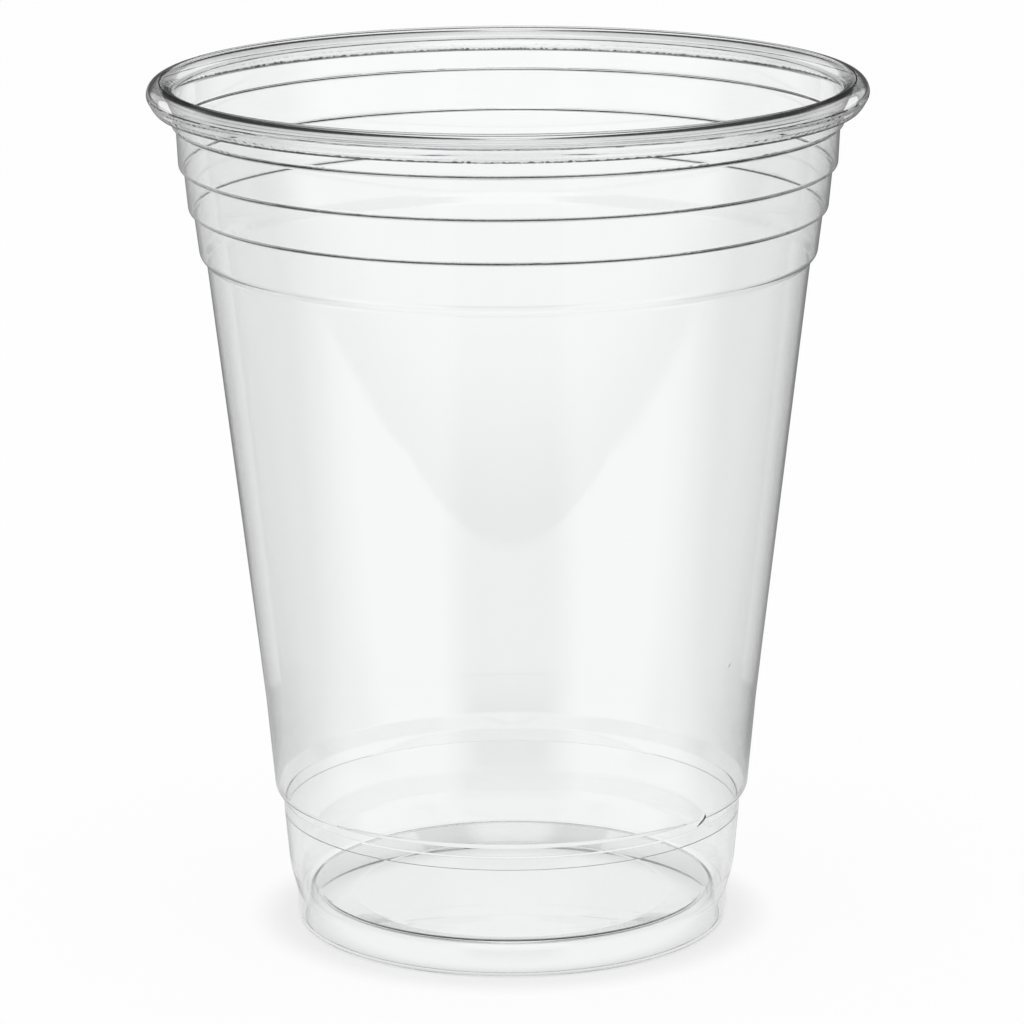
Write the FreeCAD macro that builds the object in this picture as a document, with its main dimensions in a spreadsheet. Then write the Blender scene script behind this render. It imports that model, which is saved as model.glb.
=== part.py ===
"""A clear disposable drinking cup, thermoformed from one sheet of plastic.

The cup stands on the ring of its foot. Its origin is the centre of that ring
on the ground, +Z is its axis and its size is in millimetres. The sheet is
drawn once as a closed section: from the centre of the floor out and down to
the foot, up the wall, round the rolled rim to its cut edge, and back along
the side that the drink touches. The sheet is thin where forming stretched it,
down the wall, and keeps its first thickness in the rolled rim. One turn of that
section is the cup. Round stretches are drawn as a few flats, which keeps the
turned sheet light.
"""

import FreeCAD
import Part

import math
import os

import Sketcher


# Driving dimensions, in millimetres, from the ground up. A rise is the height of
# a stretch of the outer face and a spread is how much wider it ends than it starts.
SIZES = {
    "sheet_wall": 0.36,
    "sheet_base": 0.42,
    "sheet_rim": 0.7,
    "ledge_lift": 0.2,
    "foot_radius": 30.08,
    "foot_round": 1.0,
    "foot_rise": 3.2,
    "rest_width": 0.35,
    "leg_width": 0.75,
    "floor_height": 4.9,
    "floor_fall": 1.6,
    "panel_radius": 22.0,
    "flare_rise": 4.3,
    "flare_spread": 1.07,
    "skirt_rise": 9.1,
    "skirt_spread": 0.72,
    "shoulder_rise": 2.3,
    "shoulder_spread": 1.05,
    "wall_rise": 73.65,
    "wall_spread": 8.3,
    "ring_four_rise": 1.55,
    "ring_four_spread": 1.03,
    "band_three_rise": 5.5,
    "band_three_spread": 0.65,
    "ring_three_rise": 0.45,
    "ring_three_spread": 0.7,
    "band_two_rise": 5.55,
    "band_two_spread": 0.55,
    "ring_two_rise": 0.35,
    "ring_two_spread": 0.68,
    "band_one_rise": 5.35,
    "band_one_spread": 0.29,
    "ring_one_rise": 0.25,
    "ring_one_spread": 0.62,
    "neck_rise": 4.15,
    "neck_spread": 0.07,
    "curl_radius": 1.8,
    "lip_inset": 1.0,
    "lip_drop": 1.85,
}

# The stretches of the wall above the foot, from the lowest up.
STRETCHES = [
    "flare",
    "skirt",
    "shoulder",
    "wall",
    "ring_four",
    "band_three",
    "ring_three",
    "band_two",
    "ring_two",
    "band_one",
    "ring_one",
    "neck",
]

# Angle of one flat over the rim and inside the roll, in degrees.
RIM_FLAT = 30
ROLL_FLAT = 60


class Size:
    """A length together with the expression that works it out from the sheet.

    The number places the geometry as it is drawn, and the text binds the same
    place to the dimensions, so that the two always agree.

    Args:
        number: the length in millimetres.
        text: the expression, written with the aliases of the sheet.
    """

    def __init__(self, number, text):
        self.number = number
        self.text = text

    def __add__(self, other):
        return Size(self.number + other.number, f"{self.text} + {other.text}")

    def __sub__(self, other):
        return Size(self.number - other.number, f"{self.text} - ({other.text})")

    def along(self, angle):
        """Gives the part of this length that lies across, at an angle in degrees."""
        return Size(self.number * math.cos(math.radians(angle)), f"({self.text}) * cos({angle:.4f})")

    def aloft(self, angle):
        """Gives the part of this length that lies upward, at an angle in degrees."""
        return Size(self.number * math.sin(math.radians(angle)), f"({self.text}) * sin({angle:.4f})")


class Sizes:
    """The driving dimensions by name, each one a Size bound to its cell.

    Args:
        sheet: the spreadsheet that holds the dimensions.
        numbers: the dimensions as written above.
    """

    def __init__(self, sheet, numbers):
        for row, (alias, number) in enumerate(numbers.items(), start=1):
            sheet.set(f"A{row}", alias.replace("_", " "))
            sheet.set(f"B{row}", str(number))
            sheet.setAlias(f"B{row}", alias)
            setattr(self, alias, Size(number, f"{sheet.Name}.{alias}"))
        self.nothing = Size(0.0, "0 mm")


class Section:
    """A closed outline of straight edges in a sketch, drawn point by point.

    Args:
        sketch: the sketch that receives the outline.
    """

    def __init__(self, sketch):
        self.sketch = sketch
        self.points = []

    def go(self, across, up):
        """Draws on to the next point.

        Args:
            across: its distance from the axis, a Size.
            up: its height above the ground, a Size.
        """
        self.points.append((across, up))

    def turn(self, across, up, radius, angles):
        """Draws on through points round a centre.

        Args:
            across: distance of the centre from the axis, a Size.
            up: height of the centre, a Size.
            radius: distance of the points from the centre, a Size.
            angles: their directions in degrees, counted up from outward.
        """
        for angle in angles:
            self.go(across + radius.along(angle), up + radius.aloft(angle))

    def finish(self):
        """Closes the outline, adds it to the sketch and binds every point."""
        places = [FreeCAD.Vector(a.number, u.number, 0) for a, u in self.points]
        ends = places[1:] + places[:1]
        for begin, end in zip(places, ends):
            self.sketch.addGeometry(Part.LineSegment(begin, end), False)
        count = len(places)
        for index, (across, up) in enumerate(self.points):
            following = (index + 1) % count
            self.sketch.addConstraint(Sketcher.Constraint("Coincident", index, 2, following, 1))
            self._place(index, "DistanceX", across, -2)
            self._place(index, "DistanceY", up, -1)

    def _place(self, index, kind, size, axis):
        """Fixes one coordinate of a point, on the axis itself where it is nothing."""
        if size.number == 0.0:
            self.sketch.addConstraint(Sketcher.Constraint("PointOnObject", index, 1, axis))
            return
        name = f"{'across' if kind == 'DistanceX' else 'up'}_{index}"
        place = self.sketch.addConstraint(Sketcher.Constraint(kind, -1, 1, index, 1, size.number))
        self.sketch.renameConstraint(place, name)
        self.sketch.setExpression(f"Constraints.{name}", size.text)


def even_angles(first, last, flat):
    """Splits a turn evenly.

    Args:
        first: direction at which it starts, in degrees.
        last: direction at which it ends.
        flat: angle of one flat, about.

    Returns:
        The directions of the points, both ends included.
    """
    count = max(round(abs(last - first) / flat), 1)
    return [first + (last - first) * step / count for step in range(count + 1)]


def climb(size):
    """Walks up the outer face of the wall.

    Args:
        size: the driving dimensions.

    Returns:
        The radius and height at the top of the foot and of each stretch.
    """
    across = size.foot_radius
    up = size.foot_round + size.foot_rise
    stations = [(across, up)]
    for stretch in STRETCHES:
        across = across + getattr(size, f"{stretch}_spread")
        up = up + getattr(size, f"{stretch}_rise")
        stations.append((across, up))
    return stations


def draw_underside(section, size):
    """Draws the face that looks down, from the axis to the ring of the foot.

    Args:
        section: the outline to draw on.
        size: the driving dimensions.
    """
    underside = size.floor_height - size.sheet_base
    rest = size.foot_radius - size.foot_round - size.rest_width
    section.go(size.nothing, underside - size.floor_fall)
    section.go(size.panel_radius, underside - size.floor_fall)
    section.go(rest - size.leg_width, underside)
    section.go(rest, size.nothing)


def draw_outside(section, size):
    """Draws the outer face, from the ring of the foot up the wall to the neck.

    Args:
        section: the outline to draw on.
        size: the driving dimensions.
    """
    across = size.foot_radius - size.foot_round
    section.turn(across, size.foot_round, size.foot_round, even_angles(-90, 0, 45))
    for across, up in climb(size):
        section.go(across, up)


def draw_roll(section, size):
    """Draws the rolled rim: up inside the roll, round its cut edge, back over the top.

    Args:
        section: the outline to draw on.
        size: the driving dimensions.
    """
    neck, up = climb(size)[-1]
    inner = size.curl_radius - size.sheet_rim
    across = neck + size.curl_radius - size.sheet_wall
    lip = across + size.curl_radius - size.lip_inset
    section.turn(across, up, inner, even_angles(180, 0, ROLL_FLAT)[1:])
    section.go(lip - size.sheet_rim, up - size.lip_drop + size.ledge_lift)
    section.go(lip, up - size.lip_drop)
    section.turn(across, up, size.curl_radius, even_angles(0, 180, RIM_FLAT))


def draw_inside(section, size):
    """Draws the face that the drink touches, from the neck down to the foot.

    Args:
        section: the outline to draw on.
        size: the driving dimensions.
    """
    foot, flare, *wall, _ = climb(size)
    for across, up in reversed(wall):
        section.go(across - size.sheet_wall, up + size.ledge_lift)
    for across, up in (flare, foot):
        section.go(across - size.sheet_base, up)


def draw_floor(section, size):
    """Draws the channel inside the foot and the top of the floor, in to the axis.

    Args:
        section: the outline to draw on.
        size: the driving dimensions.
    """
    inner = size.foot_round - size.sheet_base
    rest = size.foot_radius - size.foot_round - size.rest_width
    section.turn(size.foot_radius - size.foot_round, size.foot_round, inner, [0, -90])
    section.go(rest - size.leg_width + size.ledge_lift, size.floor_height)
    section.go(size.panel_radius, size.floor_height - size.floor_fall)
    section.go(size.nothing, size.floor_height - size.floor_fall)


def origin_plane(body, role):
    """Finds one of a body's own origin planes.

    Args:
        body: the body whose plane is wanted.
        role: the plane's role, such as XZ_Plane.

    Returns:
        The plane.
    """
    return next(part for part in body.Origin.OriginFeatures if part.Role == role)


def make_cup(document, size):
    """Makes the cup as one turned body.

    Args:
        document: the document that receives it.
        size: the driving dimensions.

    Returns:
        The finished body.
    """
    body = document.addObject("PartDesign::Body", "cup")
    body.Label = "cup"
    sketch = body.newObject("Sketcher::SketchObject", "sheet_section")
    sketch.AttachmentSupport = [(origin_plane(body, "XZ_Plane"), "")]
    sketch.MapMode = "FlatFace"
    section = Section(sketch)
    draw_underside(section, size)
    draw_outside(section, size)
    draw_roll(section, size)
    draw_inside(section, size)
    draw_floor(section, size)
    section.finish()
    turned = body.newObject("PartDesign::Revolution", "turned_sheet")
    turned.Profile = sketch
    turned.ReferenceAxis = (sketch, ["V_Axis"])
    turned.Angle = 360.0
    body.Placement = FreeCAD.Placement()
    return body


def check(document, bodies):
    """Stops if an object failed or a body has no sound shape.

    Args:
        document: the document to look through.
        bodies: the bodies that will be written.
    """
    for item in document.Objects:
        if "Invalid" in item.State or "Error" in item.State:
            raise RuntimeError(f"{item.Label} failed: {item.State}")
    for body in bodies:
        if body.Shape.isNull() or not body.Shape.isValid():
            raise RuntimeError(f"{body.Label} has no sound shape")


def main():
    """Builds the cup and writes it to the parts folder."""
    document = FreeCAD.newDocument("disposable_cup")
    sheet = document.addObject("Spreadsheet::Sheet", "Dimensions")
    size = Sizes(sheet, SIZES)
    document.recompute()
    bodies = [make_cup(document, size)]
    document.recompute()
    check(document, bodies)
    os.makedirs("parts", exist_ok=True)
    for body in bodies:
        body.Shape.exportStep(f"parts/{body.Label}.step")
        print(f"{body.Label}: {body.Shape.Volume / 1000:.3f} cm3 of sheet")


main()
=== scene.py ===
"""Dresses the clear drinking cup and stands it in a plain white studio.

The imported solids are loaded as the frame. The one turned sheet of the cup is
drawn again with its true roundings, finished as clear plastic, and seen from
the angle of the photograph. Lengths are in millimetres where a name ends in
mm and in metres elsewhere.
"""

import logging
import math
from dataclasses import dataclass, field
from enum import Enum
from typing import Any, Iterable, Sequence

import bpy
from mathutils import Matrix, Vector


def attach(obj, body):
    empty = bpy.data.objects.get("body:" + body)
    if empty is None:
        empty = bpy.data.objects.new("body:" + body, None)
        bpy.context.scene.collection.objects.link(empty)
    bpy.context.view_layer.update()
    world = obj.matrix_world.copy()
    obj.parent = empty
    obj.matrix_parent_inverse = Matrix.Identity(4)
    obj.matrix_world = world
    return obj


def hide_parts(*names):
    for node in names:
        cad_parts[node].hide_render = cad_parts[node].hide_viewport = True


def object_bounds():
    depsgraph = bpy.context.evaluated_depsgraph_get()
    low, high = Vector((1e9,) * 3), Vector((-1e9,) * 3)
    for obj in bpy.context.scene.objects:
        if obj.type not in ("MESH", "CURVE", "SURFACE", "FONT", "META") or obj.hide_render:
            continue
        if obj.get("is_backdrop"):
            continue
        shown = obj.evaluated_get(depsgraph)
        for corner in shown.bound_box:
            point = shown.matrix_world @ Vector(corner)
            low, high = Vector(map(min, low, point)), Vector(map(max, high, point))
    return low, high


LOG = logging.getLogger("cup")
MM = 0.001

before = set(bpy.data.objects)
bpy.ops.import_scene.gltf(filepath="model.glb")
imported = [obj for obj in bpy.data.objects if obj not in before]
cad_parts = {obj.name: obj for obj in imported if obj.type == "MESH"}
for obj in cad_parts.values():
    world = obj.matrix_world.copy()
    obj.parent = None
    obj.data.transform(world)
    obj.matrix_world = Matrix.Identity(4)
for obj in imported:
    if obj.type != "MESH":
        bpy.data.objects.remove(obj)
CAD_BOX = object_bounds()


class Light(Enum):
    """Facts about a ray's path that a surface or the sky may answer to."""

    DIFFUSE = "Is Diffuse Ray"
    MIRRORINGS = "Glossy Depth"
    THROUGH = "Is Transmission Ray"


class Socket:
    """An output of a shader node that can be written into sums.

    Args:
        shader: the tree that the output belongs to.
        output: Blender's own socket.
    """

    def __init__(self, shader: "Shader", output: bpy.types.NodeSocket) -> None:
        self.shader = shader
        self.output = output

    def _math(self, operation: str, *values: Any) -> "Socket":
        """Adds a Math node on this output and others."""
        return self.shader.node("ShaderNodeMath", {"operation": operation}, dict(enumerate(values)))

    def __add__(self, other: Any) -> "Socket":
        """Adds a value."""
        return self._math("ADD", self, other)

    def __radd__(self, other: Any) -> "Socket":
        """Adds to a value."""
        return self._math("ADD", other, self)

    def __sub__(self, other: Any) -> "Socket":
        """Takes a value away."""
        return self._math("SUBTRACT", self, other)

    def __rsub__(self, other: Any) -> "Socket":
        """Takes this from a value."""
        return self._math("SUBTRACT", other, self)

    def __mul__(self, other: Any) -> "Socket":
        """Multiplies by a value."""
        return self._math("MULTIPLY", self, other)

    def __rmul__(self, other: Any) -> "Socket":
        """Multiplies a value."""
        return self._math("MULTIPLY", other, self)

    def __gt__(self, other: Any) -> "Socket":
        """Gives 1 where this is greater."""
        return self._math("GREATER_THAN", self, other)

    def absolute(self) -> "Socket":
        """Drops the sign."""
        return self._math("ABSOLUTE", self)

    def fraction(self) -> "Socket":
        """Keeps what is left above the whole number."""
        return self._math("FRACT", self)

    def root(self) -> "Socket":
        """Takes the square root."""
        return self._math("SQRT", self)

    def turn_from(self, axis: "Socket") -> "Socket":
        """Gives the angle from an axis, in radians, where this is the distance aside."""
        return self._math("ARCTAN2", self, axis)

    def soft_step(self, low: float, high: float) -> "Socket":
        """Rises smoothly from 0 to 1 between two values.

        Args:
            low: value up to which the result is 0.
            high: value from which it is 1.

        Returns:
            The eased result.
        """
        return self.shader.node(
            "ShaderNodeMapRange",
            {"interpolation_type": "SMOOTHSTEP"},
            {"Value": self, "From Min": low, "From Max": high},
            "Result",
        )


class Shader:
    """The node tree of a material or of the world, emptied and ready to fill.

    Args:
        owner: the material or world whose nodes are made.
    """

    def __init__(self, owner: Any) -> None:
        owner.use_nodes = True
        self.tree = owner.node_tree
        self.tree.nodes.clear()

    def node(
        self,
        kind: str,
        settings: dict[str, Any] | None = None,
        inputs: dict[Any, Any] | None = None,
        output: str | int = 0,
    ) -> Socket:
        """Adds one node.

        Args:
            kind: Blender's name for the type of node.
            settings: properties of the node, set first.
            inputs: values or outputs for its sockets, by name or place.
            output: the output that is wanted.

        Returns:
            That output.
        """
        made = self.tree.nodes.new(kind)
        for name, value in (settings or {}).items():
            if name == "stops":
                self._stops(made.color_ramp, value)
            else:
                setattr(made, name, value)
        for name, value in (inputs or {}).items():
            if isinstance(value, Socket):
                self.tree.links.new(value.output, made.inputs[name])
            else:
                made.inputs[name].default_value = value
        return Socket(self, made.outputs[output] if made.outputs else None)

    def _stops(self, ramp: bpy.types.ColorRamp, stops: Sequence[tuple[float, float]]) -> None:
        """Sets the grey stops of a ramp.

        Args:
            ramp: the ramp.
            stops: place and level of each stop.
        """
        while len(ramp.elements) < len(stops):
            ramp.elements.new(0.5)
        for element, (place, level) in zip(ramp.elements, stops):
            element.position = place
            element.color = (level, level, level, 1.0)

    def light_path(self, fact: Light) -> Socket:
        """Gives one fact about the ray that meets the surface or the sky."""
        return self.node("ShaderNodeLightPath", output=fact.value)

    def coordinates(self, name: str) -> Socket:
        """Gives one of the texture coordinates."""
        return self.node("ShaderNodeTexCoord", output=name)

    def axes(self, place: Socket) -> tuple[Socket, Socket, Socket]:
        """Parts a place or direction into its three axes."""
        parts = self.node("ShaderNodeSeparateXYZ", inputs={0: place}).output.node.outputs
        return Socket(self, parts["X"]), Socket(self, parts["Y"]), Socket(self, parts["Z"])

    def distance(self, place: Socket) -> Socket:
        """Gives a place's distance from the origin."""
        return self.node("ShaderNodeVectorMath", {"operation": "LENGTH"}, {0: place}, "Value")

    def noise(self, place: Socket, scale: float, detail: float = 0.0) -> Socket:
        """Gives a smooth noise over a place, at so many waves to the metre."""
        inputs = {"Vector": place, "Scale": scale, "Detail": detail}
        return self.node("ShaderNodeTexNoise", inputs=inputs)

    def finish(self, surface: Socket, end: str = "ShaderNodeOutputMaterial") -> None:
        """Joins the surface to the tree's output."""
        self.node(end, inputs={"Surface": surface})


@dataclass(frozen=True)
class ClearSheet:
    """Clear thermoformed plastic, glossy, with the faint waves of its forming.

    Args:
        refraction: index of refraction.
        colour: tint of the sheet.
        roughness: roughness of the clean sheet.
        haze: roughness that scuffs add.
        wave_depth: height of the slow waves.
        grain_depth: height of the grain and of the specks.
        edge_radius: distance from the axis outside which the cut edge lies.
        edge_rise: heights between which the cut edge passes into the smooth roll.
        ledge_rise: height of the first ring's ledge.
        ledge_pitch: height from one ledge to the next.
    """

    refraction: float = 1.575
    colour: tuple[float, float, float, float] = (0.985, 0.99, 0.99, 1.0)
    roughness: float = 0.015
    haze: float = 0.02
    wave_depth: float = 0.00002
    grain_depth: float = 0.0001
    edge_radius: float = 0.0468
    edge_rise: tuple[float, float] = (0.1153, 0.1157)
    ledge_rise: float = 0.1009
    ledge_pitch: float = 0.0059

    def make(self) -> bpy.types.Material:
        """Makes the finish.

        Returns:
            The material.
        """
        material = bpy.data.materials.new("clear_sheet")
        shader = Shader(material)
        place = shader.coordinates("Object")
        stretched = shader.node(
            "ShaderNodeMapping", inputs={"Vector": place, "Scale": (1.0, 1.0, 0.35)}
        )
        waves = shader.noise(stretched, 60.0)
        scuffs = shader.noise(place, 140.0, 1.0)
        grain = shader.noise(place, 1300.0)
        uneven = self._uneven(shader, place, scuffs)
        specks = scuffs.soft_step(0.82, 0.86)
        height = waves * self.wave_depth + grain * uneven * self.grain_depth
        height = height + specks * self.grain_depth
        bump = shader.node(
            "ShaderNodeBump",
            inputs={"Height": height, "Strength": 1.0, "Distance": 1.0},
            output="Normal",
        )
        roughness = self.roughness + self.haze * scuffs.soft_step(0.55, 0.8)
        surface = shader.node(
            "ShaderNodeBsdfPrincipled",
            inputs={
                "Base Color": self.colour,
                "Roughness": roughness,
                "IOR": self.refraction,
                "Transmission Weight": 1.0,
                "Normal": bump,
            },
        )
        shader.finish(surface)
        return material

    def _uneven(self, shader: Shader, place: Socket, scuffs: Socket) -> Socket:
        """Marks where the plastic is uneven: its cut edge and stretches of the ring ledges.

        Args:
            shader: the material's tree.
            place: the point on the cup.
            scuffs: a slow noise over the cup.

        Returns:
            The share of unevenness, from 0 to 1.
        """
        across, along, rise = shader.axes(place)
        radius = (across * across + along * along).root()
        edge = (radius > self.edge_radius) * (1.0 - rise.soft_step(*self.edge_rise))
        steps = ((rise - self.ledge_rise) * (1 / self.ledge_pitch)).fraction()
        ledges = (1.0 - steps.soft_step(0.03, 0.06)) * (rise > 0.1) * (1.0 - edge)
        return edge + 0.4 * ledges * scuffs.soft_step(0.5, 0.58)


@dataclass(frozen=True)
class Corner:
    """A corner of the sheet's outer face.

    Args:
        across_mm: distance from the axis.
        up_mm: height above the ground.
        round_mm: radius that rounds it off.
        sheet_mm: thickness of the sheet there.
    """

    across_mm: float
    up_mm: float
    round_mm: float
    sheet_mm: float = 0.36

    @property
    def place(self) -> Vector:
        """Its place in the plane of the section."""
        return Vector((self.across_mm, self.up_mm))


def sheet_corners() -> list[Corner]:
    """Lists the corners of the outer face, from the centre of the floor to the cut edge.

    Returns:
        The corners in the order in which the sheet is walked.
    """
    return [
        Corner(0.0, 2.88, 0.0, 0.42),
        Corner(22.0, 2.88, 1.5, 0.42),
        Corner(27.98, 4.48, 0.6, 0.42),
        Corner(28.6, 0.0, 0.5, 0.42),
        Corner(30.08, 0.0, 1.0, 0.42),
        Corner(30.08, 4.1, 1.0, 0.42),
        Corner(31.12, 8.0, 8.0, 0.4),
        Corner(31.82, 15.8, 0.3),
        Corner(31.87, 17.6, 0.25),
        Corner(32.99, 19.47, 1.2),
        Corner(34.12, 32.0, 60.0),
        Corner(41.24, 93.65, 0.5),
        Corner(42.19, 94.78, 1.3),
        Corner(42.91, 100.62, 0.25),
        Corner(43.6, 100.82, 0.7),
        Corner(44.15, 106.58, 0.25),
        Corner(44.86, 106.74, 0.7),
        Corner(45.12, 112.3, 0.25),
        Corner(45.74, 112.46, 0.7),
        Corner(45.81, 116.0, 1.5),
        Corner(46.42, 117.8, 1.1, 0.7),
        Corner(48.35, 117.8, 1.1, 0.7),
        Corner(48.35, 116.6, 0.5, 0.7),
        Corner(47.84, 115.7, 2.0, 0.7),
        Corner(47.48, 115.26, 0.0, 0.7),
    ]


@dataclass
class CupShell:
    """The whole cup: one sheet turned about its axis.

    Args:
        node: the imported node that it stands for.
        corners: the corners of the sheet's outer face.
        turns: number of steps round the axis.
        flat_angle: largest angle of one flat of a rounding, in degrees.
    """

    node: str = "cup"
    corners: list[Corner] = field(default_factory=sheet_corners)
    turns: int = 256
    flat_angle: float = 12.0

    def build(self) -> bpy.types.Object:
        """Draws the section, turns it and joins its seam.

        Returns:
            The cup.
        """
        outer, inner = self._faces()
        outline = outer + inner[::-1]
        cup = self._trace([Vector((x, 0.0, z)) * MM for x, z in outline])
        bpy.ops.mesh.select_all(action="SELECT")
        bpy.ops.mesh.spin(steps=self.turns, angle=math.tau, center=(0, 0, 0), axis=(0, 0, 1))
        bpy.ops.mesh.select_all(action="SELECT")
        bpy.ops.mesh.remove_doubles(threshold=1e-6)
        bpy.ops.mesh.normals_make_consistent(inside=False)
        bpy.ops.object.mode_set(mode="OBJECT")
        bpy.ops.object.shade_smooth()
        return cup

    def dress(self, cup: bpy.types.Object, finish: ClearSheet) -> None:
        """Gives the cup its finish and its place in the frame.

        Args:
            cup: the cup.
            finish: what it is made of.
        """
        cup.data.materials.clear()
        cup.data.materials.append(finish.make())
        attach(cup, "root")
        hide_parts(self.node)

    def _faces(self) -> tuple[list[Vector], list[Vector]]:
        """Works out the two faces of the sheet in section, both from the floor to the cut edge.

        Returns:
            The points of the outer face and those of the inner one.
        """
        outer: list[Vector] = []
        inner: list[Vector] = []
        for place, heading, sheet in self._walk():
            left = Vector((-heading.y, heading.x))
            outer.append(place)
            inner.append(place + left * sheet)
        return outer, inner

    def _walk(self) -> Iterable[tuple[Vector, Vector, float]]:
        """Walks along the outer face, from the centre of the floor to the cut edge.

        Returns:
            Each point, the heading there and the thickness of the sheet.
        """
        first, last = self.corners[0], self.corners[-1]
        heading = (self.corners[1].place - first.place).normalized()
        yield first.place, heading, first.sheet_mm
        for before, corner, after in zip(self.corners, self.corners[1:], self.corners[2:]):
            yield from self._round(before, corner, after)
        heading = (last.place - self.corners[-2].place).normalized()
        yield last.place, heading, last.sheet_mm

    def _round(
        self, before: Corner, corner: Corner, after: Corner
    ) -> Iterable[tuple[Vector, Vector, float]]:
        """Walks round one corner, with a support point on each side of its rounding.

        Args:
            before: the corner before it.
            corner: the corner itself.
            after: the corner after it.

        Returns:
            Each point, the heading there and the thickness of the sheet.
        """
        way_in = (corner.place - before.place).normalized()
        way_out = (after.place - corner.place).normalized()
        angle = math.atan2(way_in.cross(way_out), way_in.dot(way_out))
        reach = corner.round_mm * math.tan(abs(angle) / 2)
        start = corner.place - way_in * reach
        side = 1.0 if angle > 0 else -1.0
        centre = start + Vector((-way_in.y, way_in.x)) * (corner.round_mm * side)
        support = min(0.06, 0.2 * corner.round_mm)
        yield start - way_in * support, way_in, corner.sheet_mm
        steps = max(2, math.ceil(abs(math.degrees(angle)) / self.flat_angle))
        for step in range(steps + 1):
            turn = Matrix.Rotation(angle * step / steps, 2)
            yield centre + turn @ (start - centre), turn @ way_in, corner.sheet_mm
        end = corner.place + way_out * reach
        yield end + way_out * support, way_out, corner.sheet_mm

    def _trace(self, outline: Sequence[Vector]) -> bpy.types.Object:
        """Draws the outline by hand, one extruded point after another, and stays in edit mode.

        Args:
            outline: the points of the section, in order.

        Returns:
            The object that holds the outline.
        """
        bpy.ops.object.select_all(action="DESELECT")
        bpy.ops.mesh.primitive_plane_add(size=0.01, location=(0, 0, 0))
        cup = bpy.context.object
        cup.name = "cup_shell"
        bpy.ops.object.mode_set(mode="EDIT")
        bpy.ops.mesh.select_all(action="SELECT")
        bpy.ops.mesh.merge(type="CENTER")
        bpy.ops.transform.translate(value=outline[0])
        for here, there in zip(outline, outline[1:]):
            bpy.ops.mesh.extrude_region_move(TRANSFORM_OT_translate={"value": there - here})
        return cup


@dataclass(frozen=True)
class Lamp:
    """A soft lamp that faces the cup.

    Args:
        name: the lamp's name.
        azimuth: direction from the cup, in degrees to the right of the camera's side.
        elevation: direction above the horizon, in degrees.
        distance: how far it hangs from the cup.
        size: width and height of its face.
        level: brightness of its face, where 1 is white.
    """

    name: str
    azimuth: float
    elevation: float
    distance: float
    size: tuple[float, float]
    level: float

    def hang(self, aim: Vector) -> None:
        """Hangs the lamp, hidden from mirrorings and from what is seen through the cup.

        Args:
            aim: the point that it faces.
        """
        data = bpy.data.lights.new(self.name, "AREA")
        data.shape = "RECTANGLE"
        data.size, data.size_y = self.size
        data.energy = self.level * math.pi * data.size * data.size_y
        lamp = bpy.data.objects.new(self.name, data)
        bpy.context.collection.objects.link(lamp)
        lamp.visible_glossy = lamp.visible_transmission = False
        turn, lift = math.radians(self.azimuth), math.radians(self.elevation)
        aside, ahead = math.sin(turn) * math.cos(lift), -math.cos(turn) * math.cos(lift)
        away = Vector((aside, ahead, math.sin(lift)))
        lamp.location = aim + away * self.distance
        lamp.rotation_euler = away.to_track_quat("Z", "Y").to_euler()


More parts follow.
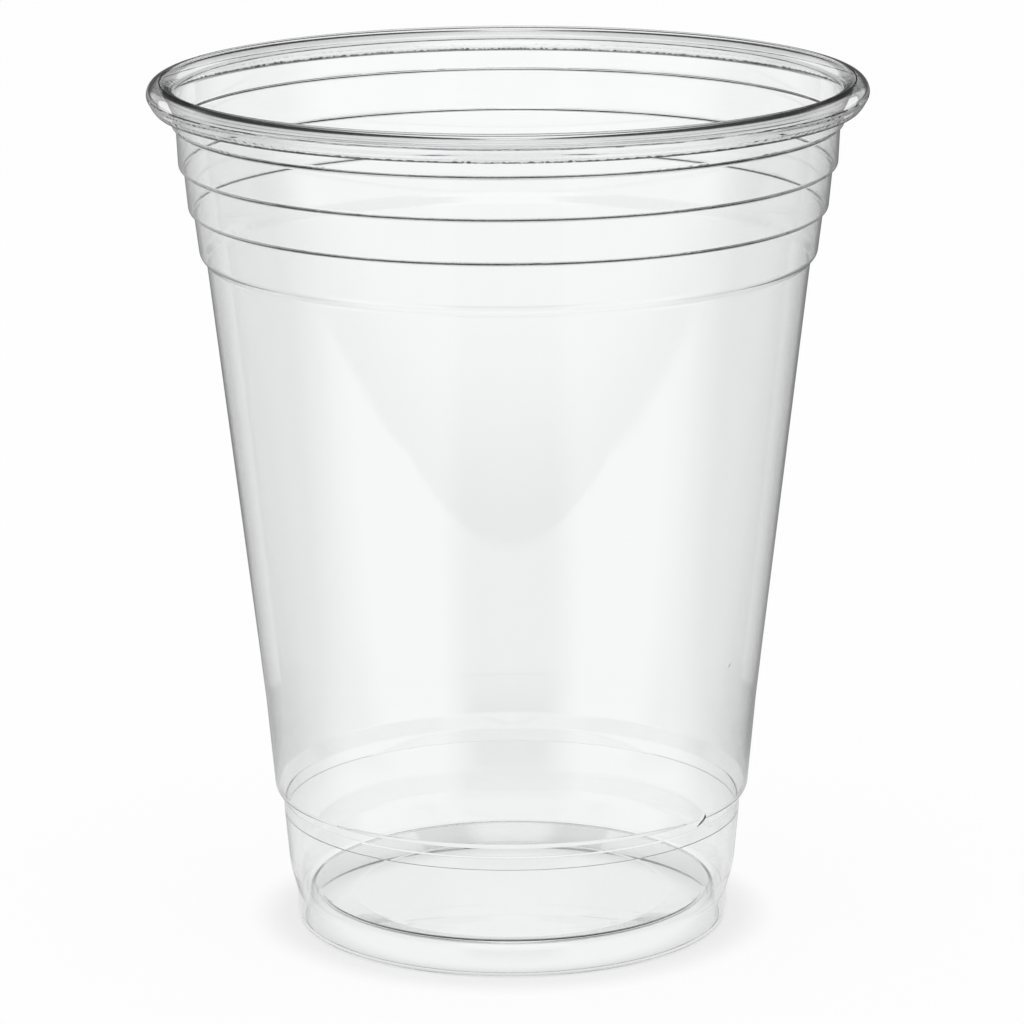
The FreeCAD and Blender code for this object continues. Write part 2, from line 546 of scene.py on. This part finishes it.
@dataclass
class Studio:
    """A plain white studio: floor, low card, sky, soft lamps and the camera.

    Args:
        floor_size: length of the floor's sides.
        shadow: share of the floor's look that takes shadows.
        contact: further share that takes shadows close round the cup's foot.
        dark: brightness of the sky's dark parts, as the cup mirrors them.
        card_level: brightness of the low card, as the cup mirrors it.
        lit_fields: brightness of the mirrored floor by degrees from the camera's side.
        floor_colour: colour of the floor where it takes shadows.
        lamps: the soft lamps.
    """

    floor_size: float = 6.0
    shadow: float = 0.06
    contact: float = 0.25
    dark: float = 0.05
    card_level: float = 0.85
    lit_fields: tuple[tuple[float, float], ...] = (
        (0.0, 0.05),
        (17.0, 0.05),
        (27.0, 0.8),
        (70.0, 0.8),
        (88.0, 0.2),
        (104.0, 0.25),
        (120.0, 0.55),
        (150.0, 0.5),
        (165.0, 0.3),
        (180.0, 0.3),
    )
    floor_colour: tuple[float, float, float, float] = (0.9, 0.9, 0.9, 1.0)
    lamps: tuple[Lamp, ...] = (
        Lamp("left_softbox", -52.0, 12.0, 1.2, (0.55, 1.1), 1.0),
        Lamp("right_softbox", 52.0, 12.0, 1.2, (0.55, 1.1), 1.0),
        Lamp("top_softbox", 0.0, 85.0, 1.4, (1.0, 1.0), 1.1),
    )

    def build(self) -> None:
        """Builds the whole studio."""
        self._floor()
        self._card()
        self._sky()
        for lamp in self.lamps:
            lamp.hang(Vector((0.0, 0.0, 0.06)))
        self._camera()

    def _floor(self) -> None:
        """Lays the pale floor, which shows white and keeps a soft shadow."""
        bpy.ops.object.select_all(action="DESELECT")
        bpy.ops.mesh.primitive_plane_add(size=self.floor_size, location=(0, 0, -0.00002))
        floor = bpy.context.object
        floor.name = "studio_floor"
        bpy.ops.object.transform_apply(location=True, rotation=False, scale=False)
        material = bpy.data.materials.new("pale_floor")
        shader = Shader(material)
        matte = shader.node("ShaderNodeBsdfDiffuse", inputs={"Color": self.floor_colour})
        mirrored = shader.light_path(Light.MIRRORINGS) > 0.5
        glow = (1.0 - mirrored) + mirrored * self._mirrored_floor(shader)
        white = shader.node("ShaderNodeEmission", inputs={"Strength": glow})
        away = shader.distance(shader.coordinates("Object"))
        close = away.soft_step(0.024, 0.029) * (1.0 - away.soft_step(0.031, 0.038))
        share = self.shadow + self.contact * close
        seen = (1.0 - share * (1.0 - mirrored)) * (1.0 - shader.light_path(Light.DIFFUSE))
        mixed = shader.node("ShaderNodeMixShader", inputs={0: seen, 1: matte, 2: white})
        shader.finish(mixed)
        material.cycles.emission_sampling = "NONE"
        floor.data.materials.append(material)
        floor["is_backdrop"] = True

    def _card(self) -> None:
        """Stands a low pale card behind the cup, which shows in mirrorings alone."""
        bpy.ops.object.select_all(action="DESELECT")
        bpy.ops.mesh.primitive_plane_add(
            size=0.1, location=(0, 0.13, 0.0502), rotation=(math.pi / 2, 0, 0)
        )
        card = bpy.context.object
        card.name = "low_card"
        bpy.ops.object.transform_apply(location=True, rotation=True, scale=False)
        material = bpy.data.materials.new("low_card")
        shader = Shader(material)
        clear = shader.node("ShaderNodeBsdfTransparent")
        white = shader.node("ShaderNodeEmission", inputs={"Strength": self.card_level})
        mirrored = shader.light_path(Light.MIRRORINGS) > 0.5
        mixed = shader.node("ShaderNodeMixShader", inputs={0: mirrored, 1: clear, 2: white})
        shader.finish(mixed)
        material.cycles.emission_sampling = "NONE"
        card.data.materials.append(material)
        card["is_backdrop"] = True

    def _mirrored_floor(self, shader: Shader) -> Socket:
        """Gives the floor as the cup mirrors it: lit fields between dark ones, pale near the cup.

        Args:
            shader: the floor's tree.

        Returns:
            The brightness, where 1 is white.
        """
        place = shader.coordinates("Object")
        aside, along, _ = shader.axes(place)
        turn = aside.absolute().turn_from(0.0 - along)
        stops = [(angle / 180, level) for angle, level in self.lit_fields]
        lit = shader.node("ShaderNodeValToRGB", {"stops": stops}, {0: turn * (1 / math.pi)})
        away = shader.distance(place)
        centre = away.soft_step(0.14, 0.28) * (1.0 - turn.soft_step(0.3, 0.5))
        dimmer = 1.0 - 0.3 * (aside > 0.0) * turn.soft_step(1.3, 1.7)
        near = 1.0 - away.soft_step(0.05, 0.1)
        return (lit * dimmer + 0.7 * centre) * (1.0 - near) + 0.8 * near

    def _sky(self) -> None:
        """Makes the sky: white where it is seen straight, lit in parts where it is mirrored."""
        world = bpy.data.worlds.new("studio_sky")
        bpy.context.scene.world = world
        world.cycles.sampling_method = "NONE"
        shader = Shader(world)
        aside, back, rise = shader.axes(shader.coordinates("Generated"))
        mirrored = shader.light_path(Light.MIRRORINGS) > 0.5
        turn = aside.absolute().turn_from(back)
        behind = 1.0 - turn.soft_step(0.045, 0.1)
        panel = rise.soft_step(0.2, 0.27) * (1.0 - rise.soft_step(0.88, 0.93)) * behind
        low = rise.soft_step(-0.02, 0.02) * (1.0 - rise.soft_step(0.15, 0.25))
        front = turn.soft_step(1.4, 1.7)
        ahead = turn.soft_step(2.3, 2.7) * rise.soft_step(0.15, 0.25)
        wings = turn.soft_step(0.3, 0.42) * (1.0 - turn.soft_step(0.9, 1.2))
        wings = wings * rise.soft_step(0.0, 0.06) * (1.0 - rise.soft_step(0.45, 0.55))
        horizon = low * (0.07 + 0.83 * front)
        open_sky = self.dark + horizon + 1.3 * ahead + 0.8 * wings + 1.2 * panel
        dimmed = shader.light_path(Light.THROUGH) * rise.soft_step(0.2, 0.35) * (1.0 - behind)
        level = (1.0 - mirrored) * (1.0 - 0.95 * dimmed) + mirrored * open_sky
        glow = shader.node("ShaderNodeBackground", inputs={"Strength": level})
        shader.finish(glow, "ShaderNodeOutputWorld")

    def _camera(self) -> None:
        """Sets the camera at the photograph's place and framing."""
        data = bpy.data.cameras.new("camera")
        data.lens = 185.46
        data.sensor_width = 36.0
        data.shift_x = 1.873 / 1024
        data.clip_start, data.clip_end = 0.01, 20.0
        camera = bpy.data.objects.new("camera", data)
        bpy.context.collection.objects.link(camera)
        tilt = Matrix.Rotation(math.radians(90 - 13.605), 4, "X")
        roll = Matrix.Rotation(math.radians(-0.311), 4, "Z")
        camera.matrix_world = Matrix.Translation((0.0, -0.7094, 0.2294)) @ tilt @ roll
        bpy.context.scene.camera = camera


def main() -> None:
    """Builds the cup and the studio."""
    logging.basicConfig(level=logging.INFO)
    bpy.context.scene.view_settings.view_transform = "Standard"
    paths = bpy.context.scene.cycles
    paths.max_bounces = paths.glossy_bounces = paths.transmission_bounces = 8
    shell = CupShell()
    cup = shell.build()
    shell.dress(cup, ClearSheet())
    LOG.info("%s: %d faces", cup.name, len(cup.data.polygons))
    Studio().build()
    boxes = [[list(corner) for corner in box] for box in (CAD_BOX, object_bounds())]


if __name__ == "__main__":
    main()
